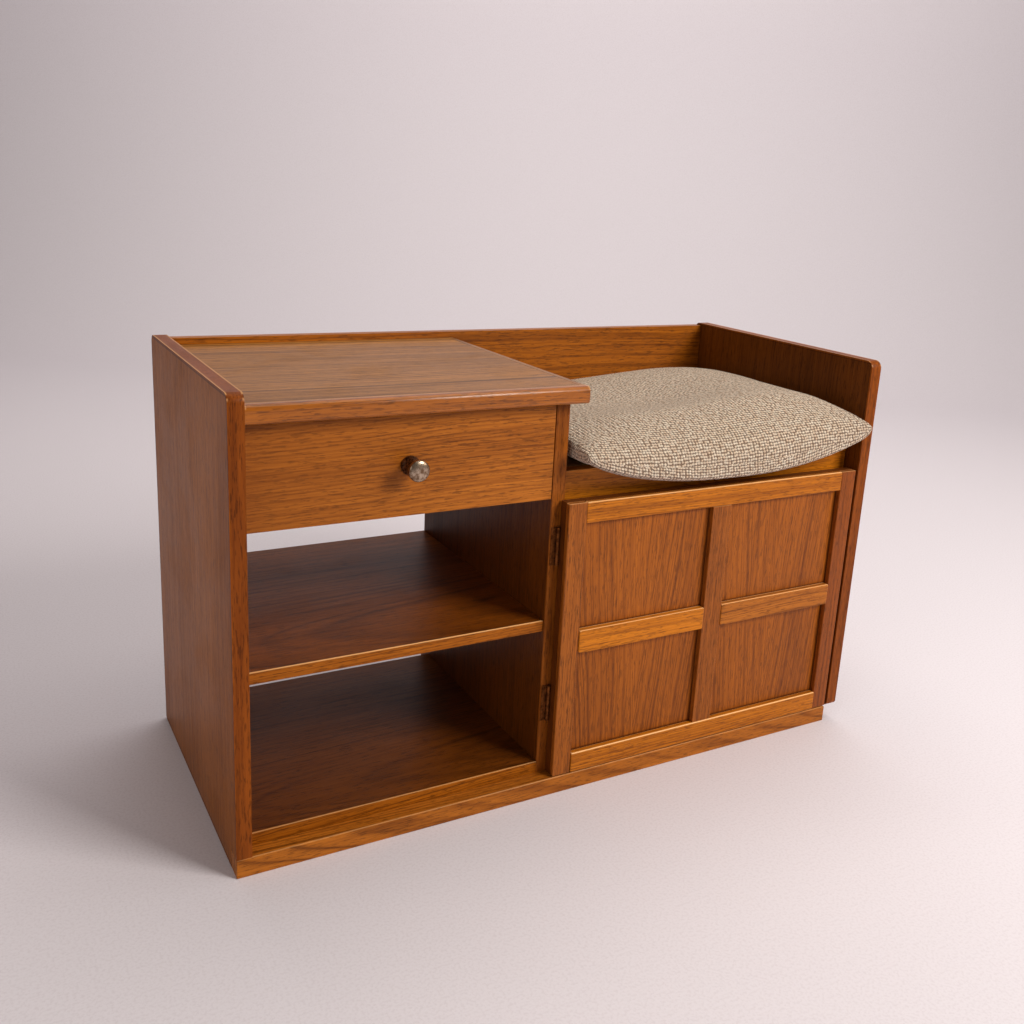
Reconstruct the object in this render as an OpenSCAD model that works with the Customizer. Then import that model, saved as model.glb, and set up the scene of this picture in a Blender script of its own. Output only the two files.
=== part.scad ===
// Entryway bench: a drawer and open shelves on the left, a cushioned seat over a cupboard on the right.
// Millimetres, +Z up, front towards -Y. The modules below measure x from the bench's left face,
// y from the front edges of its side panels and z from the floor; bench_frame() then moves the
// origin to the middle of the footprint, at floor level.

/* [Overall] */
// Width over the two side panels
bench_width = 920; // [880:1:1150]
// Depth of the side panels
bench_depth = 405; // [360:1:500]
// Height of the side panels
bench_height = 560; // [530:1:700]
// Thickness of the side panels and the divider
board_thickness = 18; // [14:0.5:24]
// How far the carcass sits behind the side panels' front edges
carcass_setback = 21; // [21:1:30]
// Radius of the side panels' rounded corners
panel_corner_radius = 11; // [4:1:14]
// Radius of the panels' lower corners
panel_foot_radius = 6; // [2:1:10]

/* [Tabletop] */
// Height of the tabletop's surface below the side panels' top edges
tabletop_drop = 13; // [6:1:30]
// Thickness of the tabletop board
tabletop_thickness = 18; // [14:1:22]
// Height of the rounded nosing along the front
nosing_height = 21; // [19:1:32]
// Depth of the nosing, front to back
nosing_depth = 12; // [10:1:21]
// Radius of the nosing's upper front edge
nosing_top_radius = 6; // [2:1:10]
// Radius of the nosing's lower front edge
nosing_bottom_radius = 4; // [1:1:8]
// Width of the lip on the tabletop's right end
end_lip_width = 8; // [4:1:12]
// How far the tabletop reaches past the divider
tabletop_overhang = 14; // [8:1:16]

/* [Shelf unit] */
// Clear width between the left panel and the divider
shelf_bay_width = 381; // [300:1:420]
// Height of the middle shelf's surface
mid_shelf_level = 240; // [150:1:300]
// Thickness of the middle shelf
mid_shelf_thickness = 15; // [10:1:18]
// How far the middle shelf sits behind the divider's front edge
mid_shelf_setback = 3; // [0:1:20]
// Thickness of the two bottom boards
bottom_board_thickness = 16; // [12:1:20]
// Gap between the shelves' rear edges and the panels' rear edges
shelf_rear_gap = 2; // [0:1:10]
// How much further the left bottom board stays from the panels' rear edges
bottom_board_rear_step = 28; // [0:1:34]
// Radius of the pegs that carry the middle shelf
peg_radius = 3; // [2:0.5:4]
// Length of a peg that shows below the shelf
peg_reach = 8; // [5:1:14]
// Depth of a peg in the panel
peg_depth = 9; // [6:1:11]
// Distance from the shelf's edges to its pegs
peg_inset = 45; // [25:1:90]

/* [Plinth] */
// Height of the plinth
plinth_height = 24; // [18:1:60]
// How far the bottom boards rest on the front plinth board
plinth_bearing = 4; // [2:1:12]
// Thickness of the other plinth boards
plinth_thickness = 18; // [12:1:24]
// Distance from the panels' rear edges to the rear plinth board
plinth_rear_inset = 22; // [10:1:60]
// Size of the glue blocks in the plinth's corners
glue_block_size = 34; // [20:1:50]
// Height of the glue blocks
glue_block_height = 18; // [12:1:18]

/* [Back] */
// Thickness of the back rail
back_rail_thickness = 15; // [10:1:20]
// How far the back rail reaches below the seat's surface
back_rail_below_seat = 29; // [20:1:60]
// Height of the back rail's top edge below the side panels' top edges
back_rail_drop = 4; // [0:1:10]
// Thickness of the cupboard's back panel
back_panel_thickness = 4; // [3:0.5:6]

/* [Seat] */
// Height of the seat board's surface
seat_level = 435; // [415:1:450]
// Thickness of the seat board
seat_board_thickness = 12; // [9:1:18]
// Height of the rail along the seat's front
seat_rail_height = 40; // [30:1:60]
// Thickness of the seat's front rail
seat_rail_thickness = 18; // [12:1:22]
// How far the seat's front rail sits behind the divider's front edge
seat_rail_setback = 8; // [2:1:20]
// Side of the square battens under the seat board
batten_size = 18; // [14:1:25]

/* [Cushion] */
// Height of the cushion at its middle
cushion_height = 85; // [60:1:88]
// Height of the cushion's rolled edges
cushion_edge_height = 46; // [30:1:56]
// How far the cushion reaches in front of the side panels
cushion_overhang = 22; // [10:1:30]
// How far the cushion's front roll hangs below the seat
cushion_droop = 11; // [0:1:14]
// Gap between the cushion and the boards beside and behind it
cushion_gap = 1; // [0.5:0.5:5]
// Gap between the cushion and the seat board
cushion_rest_gap = 0.3; // [0.3:0.1:1]

/* [Drawer] */
// Height of the drawer front
drawer_front_height = 120; // [90:1:120]
// Thickness of the drawer front
drawer_front_thickness = 18; // [12:1:22]
// Gap between the drawer front and the tabletop nosing
drawer_top_gap = 3; // [1:0.5:6]
// Gap between the drawer front and the boards beside it
drawer_side_gap = 1.5; // [0.5:0.5:3]
// Length of the drawer box behind its front
drawer_box_length = 336; // [240:1:338]
// Thickness of the drawer sides
drawer_side_thickness = 14; // [12:1:16]
// Thickness of the drawer back
drawer_back_thickness = 12; // [8:1:14]
// Gap between a drawer side and the board beside it
drawer_running_gap = 1; // [0.5:0.25:2]
// Distance from the drawer sides' upper edge up to the drawer front's
drawer_side_drop = 15; // [10:1:40]
// Distance from the drawer front's lower edge up to the drawer sides
drawer_side_lift = 6; // [3:1:12]
// Thickness of the drawer bottom
drawer_bottom_thickness = 4; // [3:0.5:6]
// Depth of the grooves that hold the drawer bottom
bottom_groove_depth = 4; // [2:0.5:5]
// Clearance all round the drawer bottom in its grooves
bottom_groove_clearance = 0.2; // [0.1:0.1:0.5]
// Height of the groove above the drawer sides' lower edge
bottom_groove_height = 6; // [4:1:12]

/* [Drawer runners] */
// Height of a runner strip
runner_height = 15; // [10:1:20]
// How far a runner stands out of its board
runner_width = 8; // [6:0.5:9]
// Clearance above and below a runner in the drawer side's groove
runner_clearance = 0.5; // [0.3:0.1:1]
// Distance from the drawer sides' lower edge up to a runner
runner_lift = 40; // [25:1:60]
// Gap between a runner's front end and the drawer front
runner_front_gap = 6; // [2:1:20]
// Size of the two blocks that stop the closed drawer
stop_block_size = 30; // [20:1:40]
// Gap between the closed drawer and its stop blocks
stop_gap = 0.5; // [0.3:0.1:1]

/* [Knob] */
// Diameter of the knob's head
knob_diameter = 25; // [18:1:32]
// How far the knob reaches out of the drawer front
knob_length = 30; // [22:1:36]
// Thickness of the knob's head
knob_head_thickness = 8; // [5:1:10]
// How far the head's face is domed
knob_dome = 2; // [0.5:0.5:4]
// Diameter of the knob's neck
knob_neck_diameter = 17; // [10:1:18]
// Diameter of the rosette under the knob
rosette_diameter = 23; // [18:1:28]
// Thickness of the rosette
rosette_thickness = 3; // [1.5:0.5:4]
// Radius of the knob's screw
knob_screw_radius = 2; // [1.5:0.25:2.5]
// Depth of the screw in the knob
knob_screw_depth = 12; // [8:1:14]
// Radius of the screw's head
knob_screw_head_radius = 4; // [3:0.5:5]
// Thickness of the screw's head
knob_screw_head_height = 2; // [1.5:0.5:3]

/* [Door] */
// Thickness of the door's panel
door_panel_thickness = 11; // [9:1:14]
// Thickness of the strips on the door's panel
lattice_thickness = 8; // [4:0.5:9]
// Gap behind the closed door
door_rear_gap = 2; // [2:0.5:3]
// Gap between the door and the right panel
door_edge_gap = 4; // [2:0.5:6]
// Gap between the door and the plinth
door_bottom_gap = 2; // [1:0.5:4]
// Gap between the top of the door and the drawer front or cushion above it, whichever is lower
door_top_gap = 2; // [1:0.5:6]
// How far the door covers the divider's front edge
door_overlap = 5; // [3:0.5:6]
// Width of the two outer stiles
outer_stile_width = 27; // [18:1:40]
// Width of the centre stile
centre_stile_width = 31; // [18:1:44]
// Height of the top and bottom rails
end_rail_height = 28; // [18:1:40]
// Height of the middle rails
mid_rail_height = 31; // [18:1:44]
// How far the bottom and middle rails stand out of the stiles
rail_relief = 1.5; // [0:0.5:3]

/* [Hinges] */
// Length of a hinge
hinge_length = 50; // [36:1:70]
// Distance from the door's top edge to the middle of the upper hinge
upper_hinge_drop = 60; // [45:1:90]
// Distance from the door's lower edge to the middle of the lower hinge
lower_hinge_rise = 99; // [45:1:120]
// Outer radius of a hinge knuckle
knuckle_radius = 2.5; // [2.25:0.05:2.5]
// How far a hinge pin stands in front of the back of the door
hinge_pin_setback = 1; // [0.5:0.25:1.5]
// Radius of a hinge pin
hinge_pin_radius = 1.2; // [0.9:0.1:1.3]
// Clearance between a pin and its knuckles
hinge_pin_clearance = 0.05; // [0.02:0.01:0.1]
// Gap between the knuckles and all that turns past them
knuckle_gap = 0.3; // [0.2:0.05:0.4]
// Thickness of a hinge leaf
hinge_leaf_thickness = 1.2; // [0.8:0.1:1.2]
// Reach of the fixed leaf from the pin
fixed_leaf_width = 9; // [8:0.5:9]
// Reach of the moving leaf from the pin
moving_leaf_width = 28; // [18:1:36]
// Radius of the hinge screws
hinge_screw_radius = 1.2; // [1:0.1:1.5]
// Depth of the hinge screws in the wood
hinge_screw_depth = 8; // [5:0.5:9]
// Radius of a hinge screw's head
hinge_screw_head_radius = 2.2; // [1.8:0.1:2.5]
// Thickness of a hinge screw's head
hinge_screw_head_height = 0.5; // [0.3:0.1:0.5]

/* [Catch] */
// Length of the magnetic catch
catch_length = 36; // [24:1:50]
// Depth of the magnetic catch
catch_depth = 22; // [14:1:28]
// Height of the magnetic catch
catch_height = 14; // [10:1:18]
// Distance from the door's free edge to the catch
catch_inset = 30; // [20:1:60]
// Thickness of the strike plate on the door
strike_thickness = 1; // [0.5:0.1:1.2]
// Gap between the strike plate and the catch
strike_gap = 0.4; // [0.3:0.1:0.5]

/* [Hidden] */
$fn = 64;
cut_margin = 1;

// Where the upright boards stand
divider_left = board_thickness + shelf_bay_width;
divider_right = divider_left + board_thickness;
right_panel_inner = bench_width - board_thickness;
back_rail_front = bench_depth - back_rail_thickness;
back_rail_top = bench_height - back_rail_drop;
back_rail_bottom = seat_level - back_rail_below_seat;
shelf_rear = bench_depth - shelf_rear_gap;

// Depth of the front plinth board, whose top shows as a ledge in front of the bottom boards
plinth_front_depth = carcass_setback + plinth_bearing;

// Levels of the flat boards
tabletop_top = bench_height - tabletop_drop;
tabletop_bottom = tabletop_top - tabletop_thickness;
nosing_bottom = tabletop_top - nosing_height;
tabletop_end = divider_right + tabletop_overhang;
bottom_board_top = plinth_height + bottom_board_thickness;
mid_shelf_bottom = mid_shelf_level - mid_shelf_thickness;

// Seat
seat_rail_front = carcass_setback + seat_rail_setback;
seat_rail_rear = seat_rail_front + seat_rail_thickness;
seat_rail_bottom = seat_level - seat_rail_height;
seat_board_bottom = seat_level - seat_board_thickness;

// Drawer
drawer_left = board_thickness + drawer_side_gap;
drawer_right = divider_left - drawer_side_gap;
drawer_top = nosing_bottom - drawer_top_gap;
drawer_bottom_edge = drawer_top - drawer_front_height;
drawer_front_rear = carcass_setback + drawer_front_thickness;
drawer_box_rear = drawer_front_rear + drawer_box_length;
drawer_side_bottom = drawer_bottom_edge + drawer_side_lift;
drawer_side_height = drawer_front_height - drawer_side_lift - drawer_side_drop;
drawer_side_left = board_thickness + drawer_running_gap;
drawer_side_right = divider_left - drawer_running_gap;
drawer_inner_left = drawer_side_left + drawer_side_thickness;
drawer_inner_right = drawer_side_right - drawer_side_thickness;
groove_bottom = drawer_side_bottom + bottom_groove_height;
groove_top = groove_bottom + drawer_bottom_thickness + 2 * bottom_groove_clearance;
runner_bottom = drawer_side_bottom + runner_lift;
runner_front = drawer_front_rear + runner_front_gap;
runner_groove_depth = runner_width - drawer_running_gap + runner_clearance;
knob_x = (drawer_left + drawer_right) / 2;
knob_z = (drawer_bottom_edge + drawer_top) / 2;

// Door
door_rear = carcass_setback - door_rear_gap;
door_panel_front = door_rear - door_panel_thickness;
lattice_front = door_panel_front - lattice_thickness;
door_left = divider_right - door_overlap;
door_right = right_panel_inner - door_edge_gap;
door_bottom = plinth_height + door_bottom_gap;
door_top = min(drawer_bottom_edge, seat_level + cushion_rest_gap - cushion_droop) - door_top_gap;
door_field_left = door_left + outer_stile_width;
door_field_right = door_right - outer_stile_width;
centre_stile_left = (door_left + door_right - centre_stile_width) / 2;
centre_stile_right = centre_stile_left + centre_stile_width;
mid_rail_bottom = (door_bottom + door_top - mid_rail_height) / 2;

// Hinges: the pin stands beside the door's left edge, in front of the divider
hinge_x = door_left - knuckle_radius - knuckle_gap;
hinge_y = door_rear - hinge_pin_setback;
knuckle_length = (hinge_length - 2 * knuckle_gap) / 3;
upper_hinge_z = door_top - upper_hinge_drop;
lower_hinge_z = door_bottom + lower_hinge_rise;
hinge_levels = [upper_hinge_z, lower_hinge_z];
hinge_screw_offset = hinge_length / 3;
fixed_screw_x = hinge_x - (fixed_leaf_width + knuckle_radius) / 2;
moving_screw_x = (divider_right + hinge_x + moving_leaf_width) / 2;

// Catch, under the seat's front rail
catch_right = door_right - catch_inset;
catch_front = door_rear + strike_thickness + strike_gap;

// Cushion
cushion_left = divider_right + cushion_gap;
cushion_right = right_panel_inner - cushion_gap;
cushion_front = -cushion_overhang;
cushion_rear = back_rail_front - cushion_gap;
cushion_bottom = seat_level + cushion_rest_gap;
cushion_top = cushion_bottom + cushion_height;

module bench_frame() {
    translate([-bench_width / 2, (cushion_overhang - bench_depth) / 2, 0]) children();
}

// A board from one corner to the opposite one
module board(low, high) {
    translate(low) cube(high - low);
}

// What a rounded corner takes off a square one; turn gives its quadrant
module corner_waste(radius, turn) {
    rotate(turn) difference() {
        translate([-cut_margin, -cut_margin]) square(radius + cut_margin);
        translate([radius, radius]) circle(radius);
    }
}

// Extrudes an outline drawn in depth and height across the bench, from x0 to x1
module across(x0, x1) {
    translate([x0, 0, 0]) rotate([90, 0, 90]) linear_extrude(x1 - x0) children();
}

// Extrudes an outline drawn in width and height from front to back, from y0 to y1
module front_to_back(y0, y1) {
    translate([0, y1, 0]) rotate([90, 0, 0]) linear_extrude(y1 - y0) children();
}

// A side panel's outline: rounded at its top corners and at its foot
module side_outline(foot_level) {
    difference() {
        translate([0, foot_level]) square([bench_depth, bench_height - foot_level]);
        translate([0, bench_height]) corner_waste(panel_corner_radius, 270);
        translate([bench_depth, bench_height]) corner_waste(panel_corner_radius, 180);
        translate([bench_depth, foot_level]) corner_waste(panel_foot_radius, 90);
        children();
    }
}

// Two pegs in the board whose face is at face_x; direction is 1 where they point right, -1 left
module pegs_in(face_x, direction) {
    for (y = [carcass_setback + peg_inset, shelf_rear - peg_inset])
        translate([face_x - direction * peg_depth, y, mid_shelf_bottom - peg_radius])
            rotate([0, 90 * direction, 0])
                cylinder(r = peg_radius, h = peg_depth + peg_reach);
}

module left_side_panel() {
    color("#6b4a35") bench_frame() difference() {
        across(0, board_thickness) side_outline(0)
            translate([-cut_margin, -cut_margin])
                square([plinth_front_depth + cut_margin, plinth_height + cut_margin]);
        pegs_in(board_thickness, 1);
    }
}

module right_side_panel() {
    color("#6b3f22") bench_frame() across(right_panel_inner, bench_width)
        side_outline(plinth_height)
            translate([0, plinth_height]) corner_waste(panel_foot_radius, 0);
}

module divider_panel() {
    color("#a9672f") bench_frame() difference() {
        board([divider_left, carcass_setback, plinth_height], [divider_right, shelf_rear, tabletop_bottom]);
        board([divider_left - cut_margin, back_rail_front, back_rail_bottom],
              [divider_right + cut_margin, bench_depth, bench_height]);
        pegs_in(divider_left, -1);
        hinge_screws_into_divider();
    }
}

module tabletop_board() {
    color("#9c7b63") bench_frame()
        board([board_thickness, nosing_depth, tabletop_bottom],
              [tabletop_end - end_lip_width, back_rail_front, tabletop_top]);
}

module tabletop_nosing() {
    color("#a9672f") bench_frame() across(board_thickness, tabletop_end) difference() {
        translate([0, nosing_bottom]) square([nosing_depth, nosing_height]);
        translate([0, tabletop_top]) corner_waste(nosing_top_radius, 270);
        translate([0, nosing_bottom]) corner_waste(nosing_bottom_radius, 0);
    }
}

module tabletop_end_lip() {
    color("#a9672f") bench_frame()
        board([tabletop_end - end_lip_width, nosing_depth, nosing_bottom],
              [tabletop_end, back_rail_front, tabletop_top]);
}

module mid_shelf() {
    color("#a9672f") bench_frame()
        board([board_thickness, carcass_setback + mid_shelf_setback, mid_shelf_bottom],
              [divider_left, shelf_rear, mid_shelf_level]);
}

module shelf_pegs() {
    color("#c9a26b") bench_frame() {
        pegs_in(board_thickness, 1);
        pegs_in(divider_left, -1);
    }
}

module left_bottom_board() {
    color("#a9672f") bench_frame()
        board([board_thickness, carcass_setback, plinth_height],
              [divider_left, shelf_rear - bottom_board_rear_step, bottom_board_top]);
}

module cupboard_bottom_board() {
    color("#a9672f") bench_frame()
        board([divider_right, carcass_setback, plinth_height],
              [right_panel_inner, bench_depth - back_panel_thickness, bottom_board_top]);
}

module plinth_front_board() {
    color("#8a4f27") bench_frame() board([0, 0, 0], [door_right, plinth_front_depth, plinth_height]);
}

module plinth_rear_board() {
    rear = bench_depth - plinth_rear_inset;
    color("#8a4f27") bench_frame()
        board([board_thickness, rear - plinth_thickness, 0],
              [door_right - plinth_thickness, rear, plinth_height]);
}

module plinth_right_return() {
    color("#8a4f27") bench_frame()
        board([door_right - plinth_thickness, plinth_front_depth, 0],
              [door_right, bench_depth - plinth_rear_inset, plinth_height]);
}

module plinth_glue_blocks() {
    inner_right = door_right - plinth_thickness;
    inner_rear = bench_depth - plinth_rear_inset - plinth_thickness;
    color("#c9a26b") bench_frame()
        for (x = [board_thickness, inner_right - glue_block_size],
             y = [plinth_front_depth, inner_rear - glue_block_size])
            translate([x, y, plinth_height - glue_block_height])
                cube([glue_block_size, glue_block_size, glue_block_height]);
}

module back_rail() {
    color("#8f5226") bench_frame()
        board([board_thickness, back_rail_front, back_rail_bottom],
              [right_panel_inner, bench_depth, back_rail_top]);
}

module cupboard_back_panel() {
    color("#8f6a45") bench_frame()
        board([divider_right, bench_depth - back_panel_thickness, plinth_height],
              [right_panel_inner, bench_depth, back_rail_bottom]);
}

module seat_board() {
    color("#b98a58") bench_frame()
        board([divider_right, seat_rail_rear, seat_board_bottom],
              [right_panel_inner, back_rail_front, seat_level]);
}

module seat_front_rail() {
    color("#b06a2c") bench_frame()
        board([divider_right, seat_rail_front, seat_rail_bottom],
              [right_panel_inner, seat_rail_rear, seat_level]);
}

// A batten under the seat board, against the upright board at x
module seat_side_batten(x) {
    color("#c9a26b") bench_frame()
        board([x, seat_rail_rear, seat_board_bottom - batten_size],
              [x + batten_size, back_rail_front, seat_board_bottom]);
}

module seat_left_batten() {
    seat_side_batten(divider_right);
}

module seat_right_batten() {
    seat_side_batten(right_panel_inner - batten_size);
}

module seat_rear_batten() {
    color("#c9a26b") bench_frame()
        board([divider_right + batten_size, back_rail_front - batten_size, seat_board_bottom - batten_size],
              [right_panel_inner - batten_size, back_rail_front, seat_board_bottom]);
}

// A runner strip that stands out of its board, from x to x + runner_width
module drawer_runner(x) {
    color("#c9a26b") bench_frame()
        board([x, runner_front, runner_bottom],
              [x + runner_width, back_rail_front, runner_bottom + runner_height]);
}

module left_drawer_runner() {
    drawer_runner(board_thickness);
}

module right_drawer_runner() {
    drawer_runner(divider_left - runner_width);
}

module drawer_stop_blocks() {
    z = drawer_side_bottom + drawer_side_height - stop_block_size;
    color("#c9a26b") bench_frame()
        for (x = [drawer_inner_left, drawer_inner_right - stop_block_size])
            board([x, drawer_box_rear + stop_gap, z],
                  [x + stop_block_size, back_rail_front, z + stop_block_size]);
}

// One hole or pin along a hinge's axis, from z0 to z1 above the middle of the hinge
module hinge_rod(level, radius, z0, z1) {
    translate([hinge_x, hinge_y, level + z0]) cylinder(r = radius, h = z1 - z0);
}

// The levels of the two screws in a hinge leaf
function screw_levels(level) = [level - hinge_screw_offset, level + hinge_screw_offset];

// Screw shanks that run from the fixed leaves into the divider
module hinge_screws_into_divider() {
    for (level = hinge_levels, z = screw_levels(level))
        translate([fixed_screw_x, carcass_setback - hinge_leaf_thickness, z]) rotate([-90, 0, 0])
            cylinder(r = hinge_screw_radius, h = hinge_leaf_thickness + hinge_screw_depth);
}

// Screw shanks that run from the moving leaves into the door panel
module hinge_screws_into_door() {
    for (level = hinge_levels, z = screw_levels(level))
        translate([moving_screw_x, door_rear + hinge_leaf_thickness, z]) rotate([90, 0, 0])
            cylinder(r = hinge_screw_radius, h = hinge_leaf_thickness + hinge_screw_depth);
}

// The outer two knuckles and the leaf screwed to the divider's front edge
module hinge_fixed_leaf(level) {
    half = hinge_length / 2;
    color("#b9a06a") bench_frame() difference() {
        union() {
            board([hinge_x - fixed_leaf_width, carcass_setback - hinge_leaf_thickness, level - half],
                  [hinge_x, carcass_setback, level + half]);
            hinge_rod(level, knuckle_radius, -half, -half + knuckle_length);
            hinge_rod(level, knuckle_radius, half - knuckle_length, half);
        }
        hinge_rod(level, knuckle_radius + knuckle_gap, -half + knuckle_length, half - knuckle_length);
        hinge_rod(level, hinge_pin_radius + hinge_pin_clearance, -half - cut_margin, half + cut_margin);
        hinge_screws_into_divider();
    }
}

// The middle knuckle and the leaf screwed to the back of the door
module hinge_moving_leaf(level) {
    half = hinge_length / 2;
    inner_half = knuckle_length / 2;
    turning_radius = knuckle_radius + knuckle_gap;
    color("#b9a06a") bench_frame() difference() {
        union() {
            board([hinge_x, door_rear, level - half],
                  [hinge_x + moving_leaf_width, door_rear + hinge_leaf_thickness, level + half]);
            hinge_rod(level, knuckle_radius, -inner_half, inner_half);
        }
        hinge_rod(level, turning_radius, -half - cut_margin, -inner_half);
        hinge_rod(level, turning_radius, inner_half, half + cut_margin);
        hinge_rod(level, hinge_pin_radius + hinge_pin_clearance, -half - cut_margin, half + cut_margin);
        hinge_screws_into_door();
    }
}

module upper_hinge_fixed_leaf() {
    hinge_fixed_leaf(upper_hinge_z);
}

module lower_hinge_fixed_leaf() {
    hinge_fixed_leaf(lower_hinge_z);
}

module upper_hinge_moving_leaf() {
    hinge_moving_leaf(upper_hinge_z);
}

module lower_hinge_moving_leaf() {
    hinge_moving_leaf(lower_hinge_z);
}

module upper_hinge_pin() {
    color("#d8c892") bench_frame()
        hinge_rod(upper_hinge_z, hinge_pin_radius, -hinge_length / 2, hinge_length / 2);
}

module lower_hinge_pin() {
    color("#d8c892") bench_frame()
        hinge_rod(lower_hinge_z, hinge_pin_radius, -hinge_length / 2, hinge_length / 2);
}

module fixed_leaf_screws() {
    color("#d8c892") bench_frame() {
        hinge_screws_into_divider();
        for (level = hinge_levels, z = screw_levels(level))
            translate([fixed_screw_x, carcass_setback - hinge_leaf_thickness, z]) rotate([90, 0, 0])
                cylinder(r = hinge_screw_head_radius, h = hinge_screw_head_height);
    }
}

module moving_leaf_screws() {
    color("#d8c892") bench_frame() {
        hinge_screws_into_door();
        for (level = hinge_levels, z = screw_levels(level))
            translate([moving_screw_x, door_rear + hinge_leaf_thickness, z]) rotate([-90, 0, 0])
                cylinder(r = hinge_screw_head_radius, h = hinge_screw_head_height);
    }
}

module magnetic_catch() {
    color("#e8e2d4") bench_frame()
        board([catch_right - catch_length, catch_front, seat_rail_bottom - catch_height],
              [catch_right, catch_front + catch_depth, seat_rail_bottom]);
}

module catch_strike_plate() {
    color("#c9c9c9") bench_frame()
        board([catch_right - catch_length, door_rear, seat_rail_bottom - catch_height],
              [catch_right, door_rear + strike_thickness, seat_rail_bottom]);
}

module drawer_front() {
    color("#b06a2c") bench_frame() difference() {
        board([drawer_left, carcass_setback, drawer_bottom_edge],
              [drawer_right, drawer_front_rear, drawer_top]);
        knob_screw_shank();
        drawer_bottom_groove();
    }
}

// The slot that the drawer bottom's edges slide into
module drawer_bottom_groove() {
    board([drawer_inner_left - bottom_groove_depth - bottom_groove_clearance,
           drawer_front_rear - bottom_groove_depth - bottom_groove_clearance, groove_bottom],
          [drawer_inner_right + bottom_groove_depth + bottom_groove_clearance,
           drawer_box_rear + cut_margin, groove_top]);
}

// A drawer side from x to x + drawer_side_thickness, with its runner groove cut in from groove_x
module drawer_side(x, groove_x) {
    color("#c9a26b") bench_frame() difference() {
        board([x, drawer_front_rear, drawer_side_bottom],
              [x + drawer_side_thickness, drawer_box_rear, drawer_side_bottom + drawer_side_height]);
        board([groove_x, drawer_front_rear - cut_margin, runner_bottom - runner_clearance],
              [groove_x + runner_groove_depth + cut_margin, drawer_box_rear + cut_margin,
               runner_bottom + runner_height + runner_clearance]);
        drawer_bottom_groove();
    }
}

module drawer_left_side() {
    drawer_side(drawer_side_left, drawer_side_left - cut_margin);
}

module drawer_right_side() {
    drawer_side(drawer_inner_right, drawer_side_right - runner_groove_depth);
}

// The drawer back stands on the drawer bottom, which slides in under it
module drawer_back() {
    color("#c9a26b") bench_frame()
        board([drawer_inner_left, drawer_box_rear - drawer_back_thickness, groove_top],
              [drawer_inner_right, drawer_box_rear, drawer_side_bottom + drawer_side_height]);
}

module drawer_bottom() {
    color("#d0b080") bench_frame()
        board([drawer_inner_left - bottom_groove_depth, drawer_front_rear - bottom_groove_depth,
               groove_bottom + bottom_groove_clearance],
              [drawer_inner_right + bottom_groove_depth, drawer_box_rear,
               groove_top - bottom_groove_clearance]);
}

// Turns a profile of radius and reach about the knob's axis, reaching out of the drawer front
module knob_lathe() {
    translate([knob_x, carcass_setback, knob_z]) rotate([90, 0, 0]) rotate_extrude() children();
}

// The knob's screw, from the inside of the drawer front into the knob
module knob_screw_shank() {
    translate([knob_x, carcass_setback - rosette_thickness - knob_screw_depth, knob_z])
        rotate([-90, 0, 0])
            cylinder(r = knob_screw_radius,
                     h = rosette_thickness + knob_screw_depth + drawer_front_thickness);
}

module knob_screw() {
    color("#c9c9c9") bench_frame() {
        knob_screw_shank();
        translate([knob_x, drawer_front_rear, knob_z]) rotate([-90, 0, 0])
            cylinder(r = knob_screw_head_radius, h = knob_screw_head_height);
    }
}

module knob_rosette() {
    color("#a39c90") bench_frame() difference() {
        knob_lathe() square([rosette_diameter / 2, rosette_thickness]);
        knob_screw_shank();
    }
}

// A waisted neck that flares to the rosette and to a disc head with a domed face
module drawer_knob() {
    head_radius = knob_diameter / 2;
    neck_radius = knob_neck_diameter / 2;
    head_bottom = knob_length - knob_head_thickness;
    dome_radius = (head_radius * head_radius + knob_dome * knob_dome) / (2 * knob_dome);
    flare = (head_bottom - rosette_thickness) / 2;
    color("#b5aea2") bench_frame() difference() {
        knob_lathe() union() {
            translate([0, rosette_thickness]) square([neck_radius, head_bottom - rosette_thickness]);
            intersection() {
                translate([0, head_bottom]) square([head_radius, knob_head_thickness]);
                translate([0, knob_length - dome_radius]) circle(dome_radius, $fn = 96);
            }
            for (end = [rosette_thickness, head_bottom]) intersection() {
                translate([0, rosette_thickness]) square([head_radius, head_bottom - rosette_thickness]);
                translate([neck_radius, end]) circle(flare / 2);
            }
        }
        knob_screw_shank();
    }
}

module door_panel() {
    color("#a0622f") bench_frame() difference() {
        board([door_left, door_panel_front, door_bottom], [door_right, door_rear, door_top]);
        hinge_screws_into_door();
    }
}

// A strip on the door's panel, from the panel's face out to the lattice's front and its relief
module lattice_strip(x0, z0, x1, z1, relief = 0) {
    color("#b06a2c") bench_frame()
        board([x0, lattice_front - relief, z0], [x1, door_panel_front, z1]);
}

module door_left_stile() {
    lattice_strip(door_left, door_bottom, door_field_left, door_top);
}

module door_right_stile() {
    lattice_strip(door_field_right, door_bottom, door_right, door_top);
}

module door_centre_stile() {
    lattice_strip(centre_stile_left, door_bottom + end_rail_height, centre_stile_right,
                  door_top - end_rail_height);
}

module door_top_rail() {
    lattice_strip(door_field_left, door_top - end_rail_height, door_field_right, door_top);
}

module door_bottom_rail() {
    lattice_strip(door_field_left, door_bottom, door_field_right, door_bottom + end_rail_height,
                  rail_relief);
}

module door_left_mid_rail() {
    lattice_strip(door_field_left, mid_rail_bottom, centre_stile_left, mid_rail_bottom + mid_rail_height,
                  rail_relief);
}

module door_right_mid_rail() {
    lattice_strip(centre_stile_right, mid_rail_bottom, door_field_right, mid_rail_bottom + mid_rail_height,
                  rail_relief);
}

// A flat circle segment's radius, from its chord and its rise
function arc_radius(chord, rise) = (chord * chord / 4 + rise * rise) / (2 * rise);

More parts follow.
